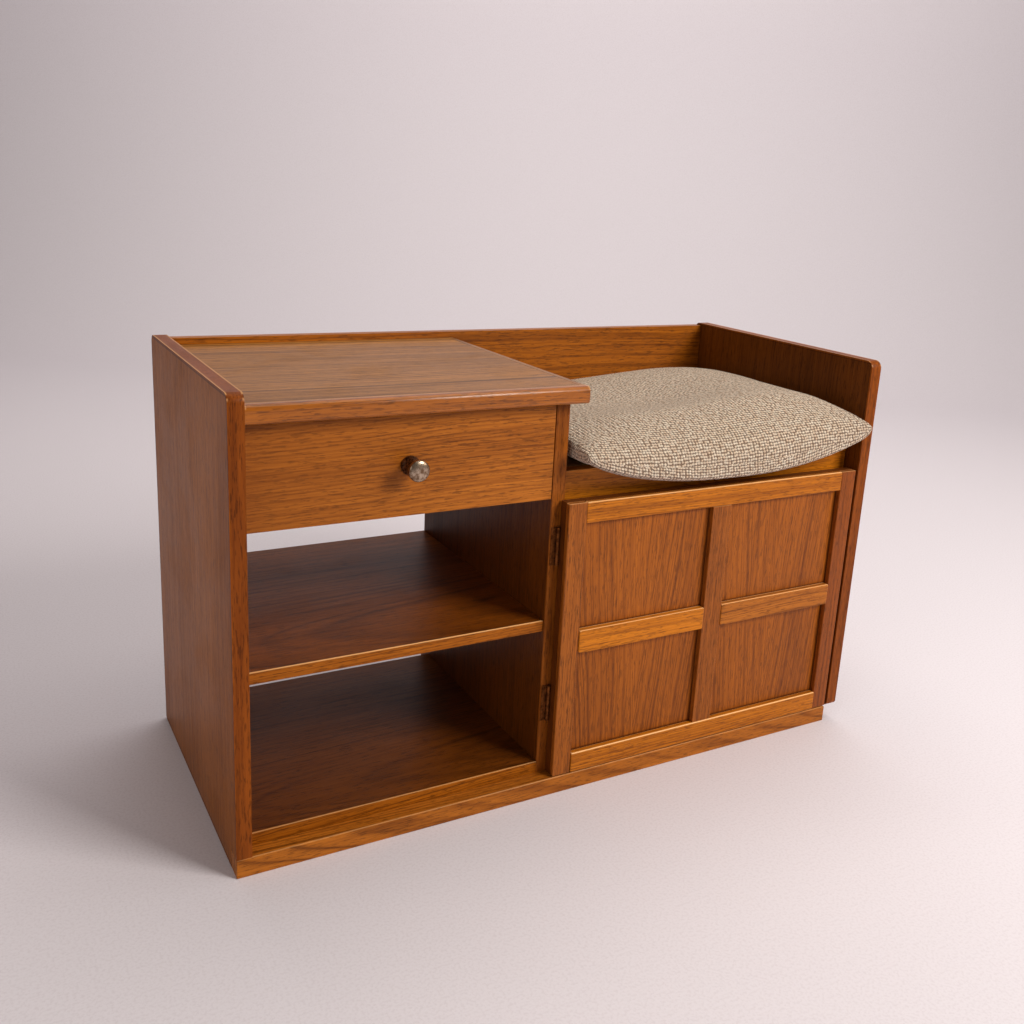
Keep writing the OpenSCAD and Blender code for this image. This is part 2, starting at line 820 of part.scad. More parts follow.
// A crowned section of the cushion: flat underneath, rolled at both edges, arched on top
module cushion_section(low, high) {
    roll = cushion_edge_height / 2;
    width = high - low;
    rise = cushion_height - cushion_edge_height;
    crown_radius = arc_radius(width, rise);
    translate([low + roll, cushion_bottom]) square([width - 2 * roll, cushion_edge_height]);
    for (centre = [low + roll, high - roll])
        translate([centre, cushion_bottom + roll]) circle(roll);
    intersection() {
        translate([low + roll, cushion_bottom]) square([width - 2 * roll, cushion_height]);
        translate([(low + high) / 2, cushion_top - crown_radius]) circle(crown_radius, $fn = 180);
    }
}

module seat_cushion() {
    front_roll = cushion_edge_height / 2;
    roll_reach = seat_rail_front - cushion_gap - cushion_front;
    color("#b3a594") bench_frame() {
        intersection() {
            across(cushion_left, cushion_right) cushion_section(cushion_front, cushion_rear);
            front_to_back(cushion_front, cushion_rear) cushion_section(cushion_left, cushion_right);
        }
        translate([0, cushion_front + front_roll, cushion_bottom + front_roll - cushion_droop])
            rotate([0, 90, 0]) translate([0, 0, cushion_left + front_roll])
                cylinder(r = min(front_roll, roll_reach / 2),
                         h = cushion_right - cushion_left - 2 * front_roll);
    }
}

left_side_panel();
right_side_panel();
divider_panel();
tabletop_board();
tabletop_nosing();
tabletop_end_lip();
mid_shelf();
shelf_pegs();
left_bottom_board();
cupboard_bottom_board();
plinth_front_board();
plinth_rear_board();
plinth_right_return();
plinth_glue_blocks();
back_rail();
cupboard_back_panel();
seat_board();
seat_front_rail();
seat_left_batten();
seat_right_batten();
seat_rear_batten();
left_drawer_runner();
right_drawer_runner();
drawer_stop_blocks();
upper_hinge_fixed_leaf();
lower_hinge_fixed_leaf();
upper_hinge_pin();
lower_hinge_pin();
fixed_leaf_screws();
magnetic_catch();
drawer_front();
drawer_left_side();
drawer_right_side();
drawer_back();
drawer_bottom();
drawer_knob();
knob_rosette();
knob_screw();
door_panel();
door_left_stile();
door_centre_stile();
door_right_stile();
door_top_rail();
door_bottom_rail();
door_left_mid_rail();
door_right_mid_rail();
upper_hinge_moving_leaf();
lower_hinge_moving_leaf();
moving_leaf_screws();
catch_strike_plate();
seat_cushion();
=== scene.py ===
"""Looks of a teak hall bench: drawer and shelves on the left, cushioned seat over a cupboard.

Metres, +Z up, front towards -Y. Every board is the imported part's own solid with eased edges and a
teak of its own; the cushion and the knob are made here.
"""
import math

import bpy
import numpy as np
from mathutils import Matrix, Vector


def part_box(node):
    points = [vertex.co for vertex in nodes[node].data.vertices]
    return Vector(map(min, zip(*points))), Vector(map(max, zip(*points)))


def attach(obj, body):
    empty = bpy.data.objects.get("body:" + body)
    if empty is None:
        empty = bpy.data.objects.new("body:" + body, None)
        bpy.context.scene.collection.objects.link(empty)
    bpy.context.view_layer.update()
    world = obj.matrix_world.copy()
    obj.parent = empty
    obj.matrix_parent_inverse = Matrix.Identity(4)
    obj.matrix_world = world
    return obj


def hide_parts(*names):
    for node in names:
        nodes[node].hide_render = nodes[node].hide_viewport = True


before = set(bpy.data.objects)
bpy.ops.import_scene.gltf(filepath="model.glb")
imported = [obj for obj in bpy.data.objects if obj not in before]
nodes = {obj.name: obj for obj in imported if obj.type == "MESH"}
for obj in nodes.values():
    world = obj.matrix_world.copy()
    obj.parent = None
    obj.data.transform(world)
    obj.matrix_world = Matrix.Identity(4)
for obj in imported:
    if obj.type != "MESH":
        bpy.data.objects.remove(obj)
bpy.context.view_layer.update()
MM = 0.001


# ---------------------------------------------------------------- small helpers

def srgb(red, green, blue):
    """A display colour, 0 to 255, as the linear colour with alpha that sockets take."""
    shown = np.array([red, green, blue]) / 255
    linear = np.where(shown <= 0.04045, shown / 12.92, ((shown + 0.055) / 1.055) ** 2.4)
    return (*linear.tolist(), 1.0)


def feed(tree, socket, value):
    """Links a socket to the one that feeds it, or sets its value."""
    if isinstance(value, bpy.types.NodeSocket):
        tree.links.new(value, socket)
    else:
        socket.default_value = value


def add(tree, kind, inputs=None, **settings):
    """A new node with its own settings, and its sockets fed or set by name."""
    made = tree.nodes.new(kind)
    for key, value in settings.items():
        setattr(made, key, value)
    for key, value in (inputs or {}).items():
        feed(tree, made.inputs[key], value)
    return made


def sums(tree, operation, *values, clamp=False):
    """The result of a Math node."""
    made = add(tree, "ShaderNodeMath", operation=operation, use_clamp=clamp)
    for socket, value in zip(made.inputs, values):
        feed(tree, socket, value)
    return made.outputs[0]


def vectors(tree, operation, *values):
    """The result of a Vector Math node."""
    made = add(tree, "ShaderNodeVectorMath", operation=operation)
    for socket, value in zip(made.inputs, values):
        feed(tree, socket, value)
    return made.outputs[0]


def spread(tree, value, low, high, new_low=0.0, new_high=1.0):
    """Carries low..high smoothly onto new_low..new_high."""
    return add(tree, "ShaderNodeMapRange", {"Value": value, "From Min": low, "From Max": high,
               "To Min": new_low, "To Max": new_high}, interpolation_type="SMOOTHSTEP").outputs[0]


def tint(tree, factor, under, over):
    """Lays one colour over another."""
    made = add(tree, "ShaderNodeMix", data_type="RGBA", blend_type="MIX")
    for index, value in ((0, factor), (6, under), (7, over)):
        feed(tree, made.inputs[index], value)
    return made.outputs[2]


def noise(tree, vector, stretch, detail=3.0, roughness=0.55, distortion=0.0):
    """Noise with its own frequency along each axis, in cycles a metre; its mean is a half."""
    placed = vectors(tree, "MULTIPLY", vector, stretch)
    return add(tree, "ShaderNodeTexNoise", {"Vector": placed, "Scale": 1.0, "Detail": detail,
               "Roughness": roughness, "Distortion": distortion}).outputs["Fac"]


def new_group(name, inputs, outputs):
    """A node group with named sockets; returns its tree, its input node and its output node."""
    tree = bpy.data.node_groups.new(name, "ShaderNodeTree")
    kinds = {"value": "NodeSocketFloat", "vector": "NodeSocketVector", "colour": "NodeSocketColor"}
    for socket, kind in inputs:
        tree.interface.new_socket(socket, in_out="INPUT", socket_type=kinds[kind])
    for socket, kind in outputs:
        tree.interface.new_socket(socket, in_out="OUTPUT", socket_type=kinds[kind])
    return tree, tree.nodes.new("NodeGroupInput"), tree.nodes.new("NodeGroupOutput")


def place_group(tree, group, values):
    """A node group in a material, with its inputs fed or set by name."""
    made = add(tree, "ShaderNodeGroup", node_tree=group)
    for key, value in values.items():
        feed(tree, made.inputs[key], value)
    return made


def new_material(name):
    """An empty node material; returns it, its tree and its Principled shader."""
    made = bpy.data.materials.new(name)
    made.use_nodes = True
    tree = made.node_tree
    return made, tree, tree.nodes["Principled BSDF"]


def object_position(tree):
    """The point's place in the row frame, which a pose carries along with the piece."""
    return add(tree, "ShaderNodeTexCoord").outputs["Object"]


def new_piece(name, points, faces):
    """A smooth-shaded object at the origin, from an array of points and a list of faces."""
    mesh = bpy.data.meshes.new(name)
    mesh.from_pydata(points.tolist(), [], faces)
    mesh.polygons.foreach_set("use_smooth", np.ones(len(mesh.polygons), bool))
    made = bpy.data.objects.new(name, mesh)
    bpy.context.scene.collection.objects.link(made)
    return made


def grid_quads(index):
    """The four-sided faces between neighbouring points of a grid, given the points' numbers."""
    return np.stack([index[:-1, :-1], index[1:, :-1], index[1:, 1:], index[:-1, 1:]], -1).reshape(-1, 4)


def dress(names, material):
    """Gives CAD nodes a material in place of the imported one."""
    for name in names:
        slots = nodes[name].material_slots
        for slot in slots:
            slot.link = "OBJECT"
            slot.material = material


# ---------------------------------------------------------------- shared effects

def make_teak_figure():
    """Grain of a flat-sawn board: rings about a heart line that leans along it, fibres and pores.

    Grain Space has the fibres along X, the width of the board on Y and its thickness on Z. The ring
    number is the distance to the heart line, less Lean times the length, over Ring Width; a swaying
    noise bends it. Match sets two such lines, that far to either side, as in matched veneers. Where
    the heart lies behind the face this draws cathedral arches, and where it lies far to one side it
    draws straight bands.
    """
    tree, given, result = new_group("teak_figure",
        [("Grain Space", "vector"), ("Pale", "colour"), ("Deep", "colour"), ("Vein", "colour"),
         ("Heart", "value"), ("Match", "value"), ("Depth", "value"), ("Lean", "value"),
         ("Ring Width", "value"), ("Figure", "value"), ("Fibre", "value"), ("Veins", "value")],
        [("Colour", "colour"), ("Relief", "value"), ("Sheen", "value")])
    get = given.outputs
    parts = add(tree, "ShaderNodeSeparateXYZ", {"Vector": get["Grain Space"]}).outputs
    sway = noise(tree, get["Grain Space"], (1.7, 7, 7), detail=3)
    swing = sums(tree, "MULTIPLY", sums(tree, "SUBTRACT", sway, 0.5), 0.034)
    from_heart = sums(tree, "SUBTRACT", parts["Y"], get["Heart"])
    aside = sums(tree, "ABSOLUTE", sums(tree, "ADD", from_heart, swing))
    width = sums(tree, "SUBTRACT", aside, get["Match"])
    thickness = sums(tree, "ADD", parts["Z"], get["Depth"])
    squares = [sums(tree, "POWER", sums(tree, "ABSOLUTE", part), 2) for part in (width, thickness)]
    distance = sums(tree, "SQRT", sums(tree, "ADD", *squares))
    leaning = sums(tree, "SUBTRACT", distance, sums(tree, "MULTIPLY", parts["X"], get["Lean"]))
    ring = sums(tree, "DIVIDE", leaning, get["Ring Width"])
    uneven = add(tree, "ShaderNodeTexNoise", {"W": sums(tree, "MULTIPLY", ring, 0.45), "Scale": 1.0,
                 "Detail": 2.0}, noise_dimensions="1D").outputs["Fac"]
    phase = sums(tree, "ADD", ring, sums(tree, "MULTIPLY", uneven, 2.4))
    wave = sums(tree, "SINE", sums(tree, "MULTIPLY", phase, 2 * math.pi))
    band = sums(tree, "MULTIPLY_ADD", wave, 0.5, 0.5)
    late = sums(tree, "POWER", band, 3)

    fibre = noise(tree, get["Grain Space"], (15, 430, 430), detail=4, roughness=0.75)
    bundle = noise(tree, get["Grain Space"], (3.2, 130, 130), detail=4, roughness=0.62)
    cloud = noise(tree, get["Grain Space"], (1.5, 9, 9), detail=2)
    pore = noise(tree, get["Grain Space"], (70, 620, 620), detail=2)
    pores = spread(tree, pore, 0.54, 0.64)

    fine = sums(tree, "MULTIPLY", sums(tree, "SUBTRACT", fibre, 0.5), get["Fibre"])
    banded = sums(tree, "MULTIPLY", sums(tree, "SUBTRACT", late, 0.3), get["Figure"])
    broad = sums(tree, "MULTIPLY", sums(tree, "SUBTRACT", bundle, 0.5), 0.95)
    cloudy = sums(tree, "MULTIPLY", sums(tree, "SUBTRACT", cloud, 0.5), 1.1)
    depth = sums(tree, "ADD", sums(tree, "ADD", fine, banded), sums(tree, "ADD", broad, cloudy))
    mixed = tint(tree, sums(tree, "ADD", depth, 0.42, clamp=True), get["Pale"], get["Deep"])
    thread = sums(tree, "POWER", band, 16)
    patchy = spread(tree, noise(tree, get["Grain Space"], (2.6, 28, 28), detail=2), 0.46, 0.66)
    veins = sums(tree, "MULTIPLY", sums(tree, "MULTIPLY", thread, patchy), get["Veins"], clamp=True)
    veined = tint(tree, veins, mixed, get["Vein"])
    pored = tint(tree, sums(tree, "MULTIPLY", pores, 0.50), veined, get["Vein"])
    tree.links.new(pored, result.inputs["Colour"])
    relief = sums(tree, "SUBTRACT", sums(tree, "MULTIPLY", fibre, 0.6),
                  sums(tree, "MULTIPLY", pores, 0.8))
    tree.links.new(relief, result.inputs["Relief"])
    sheen = sums(tree, "ADD", sums(tree, "MULTIPLY", bundle, 0.6), sums(tree, "MULTIPLY", cloud, 0.4))
    tree.links.new(sheen, result.inputs["Sheen"])
    return tree


def make_arris():
    """How far a point of a board lies from its nearest edge, and how worn that edge is.

    The three distances to the board's nearest faces are sorted: the least is nothing, on the face
    itself, and the middle one is the distance to the nearest edge.
    """
    tree, given, result = new_group("arris",
        [("Position", "vector"), ("Low", "vector"), ("High", "vector"), ("Reach", "value")],
        [("Distance", "value"), ("Wear", "value")])
    get = given.outputs
    from_low = vectors(tree, "SUBTRACT", get["Position"], get["Low"])
    from_high = vectors(tree, "SUBTRACT", get["High"], get["Position"])
    nearest = add(tree, "ShaderNodeSeparateXYZ",
                  {"Vector": vectors(tree, "MINIMUM", from_low, from_high)}).outputs
    lesser = sums(tree, "MINIMUM", nearest["X"], nearest["Y"])
    greater = sums(tree, "MAXIMUM", nearest["X"], nearest["Y"])
    middle = sums(tree, "MAXIMUM", lesser, sums(tree, "MINIMUM", greater, nearest["Z"]))
    tree.links.new(middle, result.inputs["Distance"])
    wear_and_highlight = spread(tree, middle, 0.0, get["Reach"], 1.0, 0.0)
    patchy = spread(tree, noise(tree, get["Position"], (22, 22, 22), detail=3), 0.38, 0.68)
    tree.links.new(sums(tree, "MULTIPLY", wear_and_highlight, patchy), result.inputs["Wear"])
    return tree


def make_beside():
    """How far a point of the door's panel lies from a strip, measured in the door's plane."""
    tree, given, result = new_group("beside_strip",
        [("Position", "vector"), ("Middle", "vector"), ("Half", "vector")], [("Distance", "value")])
    get = given.outputs
    away = vectors(tree, "ABSOLUTE", vectors(tree, "SUBTRACT", get["Position"], get["Middle"]))
    past = add(tree, "ShaderNodeSeparateXYZ",
               {"Vector": vectors(tree, "SUBTRACT", away, get["Half"])}).outputs
    tree.links.new(sums(tree, "MAXIMUM", past["X"], past["Z"]), result.inputs["Distance"])
    return tree


def make_handling():
    """Faint marks of use: a mask of smears where hands have dulled the finish."""
    tree, given, result = new_group("handling", [("Position", "vector")], [("Smear", "value")])
    smear = noise(tree, given.outputs["Position"], (9, 9, 9), detail=4, distortion=0.6)
    tree.links.new(spread(tree, smear, 0.42, 0.72), result.inputs["Smear"])
    return tree


teak_figure = make_teak_figure()
arris = make_arris()
handling = make_handling()
beside_strip = make_beside()


# ---------------------------------------------------------------- woods

AXES = {"x": "X", "y": "Y", "z": "Z"}

# Tones of the woods: the pale ground, the deep bands over it, and the veins and pores.
RICH = dict(pale=srgb(176, 99, 20), deep=srgb(112, 56, 7), vein=srgb(62, 28, 5))
RAIL = dict(pale=srgb(206, 121, 20), deep=srgb(142, 74, 6), vein=srgb(84, 38, 5))
BROWN = dict(pale=srgb(176, 102, 26), deep=srgb(122, 62, 10), vein=srgb(70, 32, 8))
STILE = dict(pale=srgb(166, 92, 28), deep=srgb(108, 53, 12), vein=srgb(58, 27, 7))
LIP = dict(pale=srgb(146, 74, 18), deep=srgb(100, 45, 8), vein=srgb(50, 22, 4))
PLINTH = dict(pale=srgb(188, 110, 32), deep=srgb(124, 64, 12), vein=srgb(62, 29, 7))
FADED = dict(pale=srgb(176, 116, 50), deep=srgb(104, 64, 22), vein=srgb(72, 39, 14))
# The next two are darker tones that paint the shade inside the bays.
SHADED_SHELF = dict(pale=srgb(134, 70, 14), deep=srgb(80, 37, 6), vein=srgb(46, 20, 4))
SHADED_BAY = dict(pale=srgb(116, 60, 14), deep=srgb(76, 36, 6), vein=srgb(40, 18, 4))
PANEL = dict(pale=srgb(168, 92, 22), deep=srgb(116, 58, 13), vein=srgb(78, 36, 9))
BEECH = dict(pale=srgb(206, 170, 124), deep=srgb(176, 136, 92), vein=srgb(120, 84, 52))
UPPER_ARRIS_HIGHLIGHT = srgb(246, 190, 128)      # painted highlight on upward-facing arrises


def teak(name, along, across, tones, seed, heart=0.3, match=0.0, depth=0.06, lean=0.0, ring=4 * MM,
         figure=0.28, fibre=1.5, veins=0.45, roughness=0.38, gloss=0.18, edges=None,
         wear_and_highlight=0.45, lip=None, lip_tones=None, strips=(), shade_span=None):
    """Teak for one board: along and across are the axes of its fibres and its width.

    A board with a lip has a strip of solid teak glued round its rim: a dark glue line shows that
    far in from its edges on its two wide sides, and lip_tones colour the strip. Wear has left its
    arrises a little paler, and a painted highlight, of a strength given per board, makes the
    upward-facing arrises paler still. Painted shade darkens the corners beside any strips that are
    glued on the board. Given two places along the fibres, painted shade goes from darker to paler
    between them.
    """
    made, tree, shader = new_material(name)
    place = object_position(tree)
    parts = add(tree, "ShaderNodeSeparateXYZ", {"Vector": place}).outputs
    thickness = ({"x", "y", "z"} - {along, across}).pop()
    turned = add(tree, "ShaderNodeCombineXYZ", {"X": parts[AXES[along]], "Y": parts[AXES[across]],
                                                "Z": parts[AXES[thickness]]}).outputs[0]
    grain = vectors(tree, "ADD", turned, (seed * 0.37, 0.0, seed * 0.011))
    colours = dict(tones)
    if edges:
        low, high = edges
        edge = place_group(tree, arris, {"Position": place, "Low": tuple(low), "High": tuple(high),
                                         "Reach": 2.2 * MM}).outputs
    if lip:
        side = AXES[thickness]
        index = "XYZ".index(side)
        from_side = sums(tree, "MINIMUM", sums(tree, "SUBTRACT", parts[side], low[index]),
                         sums(tree, "SUBTRACT", high[index], parts[side]))
        wide = spread(tree, from_side, 0.5 * MM, 1.4 * MM, 1.0, 0.0)
        strip = spread(tree, edge["Distance"], lip, lip + 0.2 * MM, 1.0, 0.0)
        rim = sums(tree, "MAXIMUM", strip, sums(tree, "SUBTRACT", 1.0, wide))
        for shade in colours:
            colours[shade] = tint(tree, rim, tones[shade], (lip_tones or tones)[shade])
    wood = place_group(tree, teak_figure, {
        "Grain Space": grain, "Pale": colours["pale"], "Deep": colours["deep"],
        "Vein": colours["vein"], "Heart": heart, "Match": match, "Depth": depth, "Lean": lean,
        "Ring Width": ring, "Figure": figure, "Fibre": fibre, "Veins": veins}).outputs
    colour = wood["Colour"]
    use = place_group(tree, handling, {"Position": place}).outputs
    # Painted shade: the colour darkens towards one end of the board.
    if shade_span:
        painted_shade = spread(tree, parts[AXES[along]], *shade_span, 0.42, 0.0)
        colour = tint(tree, painted_shade, colour, tones["deep"])
    # Painted shade: the panel darkens in the corners close beside the glued-on strips.
    if strips:
        nearest = 1.0
        for low, high in strips:
            gap = place_group(tree, beside_strip, {"Position": place, "Middle": tuple((low + high) / 2),
                                                   "Half": tuple((high - low) / 2)}).outputs["Distance"]
            nearest = sums(tree, "MINIMUM", nearest, gap)
        colour = tint(tree, spread(tree, nearest, 0.4 * MM, 3.2 * MM, 0.8, 0.0), colour, tones["vein"])
    if lip:
        line = sums(tree, "ABSOLUTE", sums(tree, "SUBTRACT", edge["Distance"], lip))
        glue = sums(tree, "MULTIPLY", spread(tree, line, 0.2 * MM, 0.8 * MM, 0.75, 0.0), wide)
        colour = tint(tree, glue, colour, tones["vein"])
    if edges:
        colour = tint(tree, sums(tree, "MULTIPLY", edge["Wear"], 0.30), colour, tones["pale"])
        # Painted highlight: arrises that face upwards are painted paler, where light from above would
        # catch them.
        facing = add(tree, "ShaderNodeSeparateXYZ", {
            "Vector": add(tree, "ShaderNodeTexCoord").outputs["Normal"]}).outputs["Z"]
        upper = sums(tree, "MULTIPLY", spread(tree, edge["Distance"], 1.0 * MM, 2.3 * MM, 1.0, 0.0),
                     spread(tree, facing, 0.15, 0.6))
        colour = tint(tree, sums(tree, "MULTIPLY", upper, wear_and_highlight), colour, UPPER_ARRIS_HIGHLIGHT)
    made_rough = sums(tree, "MULTIPLY_ADD", wood["Sheen"], 0.16, roughness - 0.08)
    made_rough = sums(tree, "MULTIPLY_ADD", use["Smear"], 0.06, made_rough)
    bump = add(tree, "ShaderNodeBump", {"Strength": 0.22, "Distance": 0.35 * MM,
                                        "Height": wood["Relief"]}).outputs[0]
    feed(tree, shader.inputs["Base Color"], colour)
    feed(tree, shader.inputs["Roughness"], made_rough)
    feed(tree, shader.inputs["Normal"], bump)
    shader.inputs["Specular IOR Level"].default_value = gloss
    return made


def dress_side_panels():
    """Veneered end panels and divider, each with a lip of solid teak along its edges."""
    # The right panel and the divider take darker tones as painted shade of the bays.
    for name, seed, tones, lips in (("left_side_panel", 1.0, BROWN, LIP),
                                    ("right_side_panel", 2.0, SHADED_BAY, LIP),
                                    ("divider_panel", 3.0, SHADED_BAY, STILE)):
        dress([name], teak(name + "_teak", "z", "y", tones, seed, heart=0.9, ring=5 * MM, figure=0.2,
                           veins=0.25, gloss=0.10, edges=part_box(name), lip=3.2 * MM,
                           lip_tones=lips))


def dress_tabletop():
    """The faded top board, and the solid nosing and end lip round it."""
    dress(["tabletop_board"], teak("tabletop_teak", "x", "y", FADED, 4.0, heart=0.5, ring=5 * MM,
                                   figure=0.6, veins=0.7, roughness=0.40, gloss=0.20))
    dress(["tabletop_nosing"], teak("nosing_teak", "x", "z", RICH, 5.0, heart=0.2, roughness=0.30,
                                    gloss=0.45, edges=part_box("tabletop_nosing"), wear_and_highlight=0.45))
    dress(["tabletop_end_lip"], teak("end_lip_teak", "y", "z", FADED, 5.5, roughness=0.38, gloss=0.3))


def front_edges(name):
    """A board's box drawn out sideways and to the rear, so that only its front arrises count."""
    low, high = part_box(name)
    return Vector((low.x - 1, low.y, low.z)), Vector((high.x + 1, high.y + 1, high.z))


def dress_shelves():
    """Middle shelf and bottom boards, darker inside the bays as painted shade."""
    dress(["mid_shelf"],
          teak("mid_shelf_teak", "x", "y", SHADED_SHELF, 6.0, heart=-0.1, depth=0.02, lean=0.03, gloss=0.12,
               edges=front_edges("mid_shelf"), wear_and_highlight=0.8, lip=3.0 * MM, lip_tones=RICH))
    dress(["left_bottom_board"],
          teak("bottom_board_teak", "x", "y", SHADED_BAY, 7.0, heart=-0.12, depth=0.02, lean=0.04,
               gloss=0.10, edges=front_edges("left_bottom_board"), lip=3.0 * MM, lip_tones=RICH))
    dress(["cupboard_bottom_board"],
          teak("cupboard_bottom_teak", "x", "y", SHADED_SHELF, 7.5, heart=-0.12, depth=0.02, lean=0.04))


def dress_plinth_and_rails():
    """Plinth, back rail and seat rail."""
    dress(["plinth_front_board"], teak("plinth_teak", "x", "z", PLINTH, 8.0, heart=0.03, depth=0.02,
                                       lean=0.05, ring=5 * MM, figure=0.4, veins=0.5,
                                       edges=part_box("plinth_front_board"), wear_and_highlight=0.25))
    dress(["plinth_rear_board"], teak("plinth_rear_teak", "x", "z", BROWN, 8.4))
    dress(["plinth_right_return"], teak("plinth_return_teak", "y", "z", BROWN, 8.8))
    dress(["back_rail"], teak("back_rail_teak", "x", "z", RICH, 9.0, heart=0.35, ring=5 * MM,
                              figure=0.35, edges=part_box("back_rail"), wear_and_highlight=0.2))
    dress(["seat_front_rail"], teak("seat_rail_teak", "x", "z", RAIL, 9.5,
                                    edges=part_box("seat_front_rail")))


def dress_drawer():
    """The drawer front's long grain, and the plain box behind it."""
    low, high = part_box("drawer_front")
    # The drawer front gets painted shade towards its left end.
    dress(["drawer_front"], teak("drawer_front_teak", "x", "z", PLINTH, 10.0, heart=0.34, depth=0.02,
                                 lean=0.04, ring=4.5 * MM, figure=0.32, veins=0.5, edges=(low, high),
                                 shade_span=(low.x - 0.04, high.x - 0.06)))
    box = teak("drawer_box_beech", "y", "z", BEECH, 11.0, figure=0.2, veins=0.1, roughness=0.6)
    dress(["drawer_left_side", "drawer_right_side", "left_drawer_runner", "right_drawer_runner",
           "seat_left_batten", "seat_right_batten", "drawer_stop_blocks", "plinth_glue_blocks",
           "shelf_pegs"], box)
    dress(["drawer_back", "seat_rear_batten"],
          teak("cross_beech", "x", "z", BEECH, 12.0, figure=0.2, veins=0.1, roughness=0.6))


def dress_plywood():
    """Thin boards out of sight: drawer bottom, seat board and the cupboard's back."""
    dress(["drawer_bottom", "seat_board"], teak("plywood_flat", "x", "y", BEECH, 13.0, heart=0.05,
          depth=0.05, lean=0.05, ring=9 * MM, figure=0.3, veins=0.2, roughness=0.6))
    dress(["cupboard_back_panel"], teak("plywood_back", "x", "z", BEECH, 14.0, heart=0.15,
          depth=0.05, lean=0.05, ring=9 * MM, figure=0.3, veins=0.2, roughness=0.6))


def dress_door():
    """A veneered panel with matched arches, browner stiles and brighter rails, one of them duller."""
    low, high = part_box("door_panel")
    stiles = (("door_left_stile", 16.0, STILE), ("door_centre_stile", 17.0, STILE),
              ("door_right_stile", 18.0, LIP))
    rails = ("door_top_rail", "door_bottom_rail", "door_left_mid_rail", "door_right_mid_rail")
    # The panel gets painted shade beside these strips.
    strips = [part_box(name) for name in rails + tuple(stile[0] for stile in stiles)]
    dress(["door_panel"], teak("door_panel_teak", "z", "x", PANEL, 15.0, heart=(low.x + high.x) / 2,
                               match=0.115, depth=0.018, lean=0.09, ring=6 * MM, figure=0.42,
                               veins=0.45, strips=strips))
    for name, seed, tones in stiles:
        dress([name], teak(name + "_teak", "z", "x", tones, seed, edges=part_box(name)))
    for seed, name in enumerate(rails, start=20):
        tones = PLINTH if name == "door_right_mid_rail" else RAIL
        dress([name], teak(name + "_teak", "x", "z", tones, float(seed), edges=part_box(name),
                           wear_and_highlight=1.0))


# ---------------------------------------------------------------- metal and plastic

def aged_metal(name, bright, tarnish, roughness, patch_rate=60.0, dents=0.0, dent_rate=500.0,
               metallic=1.0):
    """Plated metal with patches of tarnish and small dents; their rates are in cycles a metre."""
    made, tree, shader = new_material(name)
    place = object_position(tree)
    patches = spread(tree, noise(tree, place, (patch_rate,) * 3, detail=4, roughness=0.6), 0.38, 0.66)
    feed(tree, shader.inputs["Base Color"], tint(tree, patches, bright, tarnish))
    feed(tree, shader.inputs["Roughness"], sums(tree, "MULTIPLY_ADD", patches, 0.18, roughness))
    height = noise(tree, place, (dent_rate,) * 3, detail=2)
    feed(tree, shader.inputs["Normal"], add(tree, "ShaderNodeBump", {
        "Strength": max(dents, 0.05), "Distance": 0.4 * MM, "Height": height}).outputs[0])
    shader.inputs["Metallic"].default_value = metallic
    return made


def dress_metalwork():
    """Hinges of brass gone brown, zinc screws and a moulded catch."""
    brass = aged_metal("hinge_brass", srgb(134, 80, 40), srgb(92, 52, 25), 0.55, patch_rate=180.0)
    dress(["upper_hinge_fixed_leaf", "lower_hinge_fixed_leaf", "upper_hinge_moving_leaf",
           "lower_hinge_moving_leaf", "upper_hinge_pin", "lower_hinge_pin", "fixed_leaf_screws",
           "moving_leaf_screws"], brass)
    steel = aged_metal("zinc_steel", srgb(190, 190, 188), srgb(130, 128, 124), 0.30)
    dress(["knob_screw", "catch_strike_plate"], steel)
    dress(["magnetic_catch"], aged_metal("catch_plastic", srgb(226, 220, 206), srgb(206, 198, 180),
                                         0.45, metallic=0.0))


KNOB_RIM = 0.88        # the share of the knob's length at which its head begins to round over
KNOB_HEAD = 0.70       # and the one at which its head begins


def turned_piece(name, reach, radius, hammered, centre, segments=96):
    """A closed turned form about an axis towards the front, from its radius R at each reach r.

    Its point at turn t and reach r is centre + (R cos t, -r, R sin t). Hammering varies R with waves
    round the turn and along the reach, as strongly as it is hammered there. The ends run to the axis
    and close in one point each.
    """
    turn = np.linspace(0, 2 * np.pi, segments, endpoint=False)
    waves = 0.022 * np.sin(7 * turn)[None] * np.sin(reach / (1.9 * MM))[:, None]
    waves += 0.014 * np.sin(11 * turn + 1.3)[None] * np.cos(reach / (1.1 * MM))[:, None]
    ring_radius = radius[:, None] * (1 + hammered[:, None] * waves)
    x = centre.x + ring_radius * np.cos(turn)
    y = centre.y - np.broadcast_to(reach[:, None], ring_radius.shape)
    z = centre.z + ring_radius * np.sin(turn)
    ends = np.array([[centre.x, centre.y - end, centre.z] for end in (reach[0], reach[-1])])
    points = np.concatenate([np.stack([x, y, z], -1).reshape(-1, 3), ends])
    index = np.arange(len(reach) * segments).reshape(len(reach), segments)
    onward = np.roll(index, -1, axis=1)
    walls = np.stack([index[:-1], onward[:-1], onward[1:], index[1:]], -1).reshape(-1, 4)
    foot = np.stack([np.full(segments, index.size), onward[0], index[0]], -1)
    tip = np.stack([np.full(segments, index.size + 1), index[-1], onward[-1]], -1)
    return new_piece(name, points, walls.tolist() + foot.tolist() + tip.tolist())


def knob_radius(share, plate, head):
    """The knob's radius at a share of its length, 0 on the drawer front and 1 at its tip.

    The thin plate narrows to the body, which swells before a groove. Past the groove the disc head
    widens and, from its rim on, rounds over as head * (1 - u^2.4)^0.5.
    """
    body = plate * (1 - 0.20 * soft_step(share, 0.05, 0.30))
    body += 0.05 * plate * np.exp(-((share - 0.61) / 0.05) ** 2)
    body -= 0.07 * plate * np.exp(-((share - 0.675) / 0.02) ** 2)
    disc = body + (head - body) * soft_step(share, 0.69, 0.78)
    return disc * np.sqrt(1 - np.clip((share - KNOB_RIM) / (1 - KNOB_RIM), 0, 1) ** 2.4)


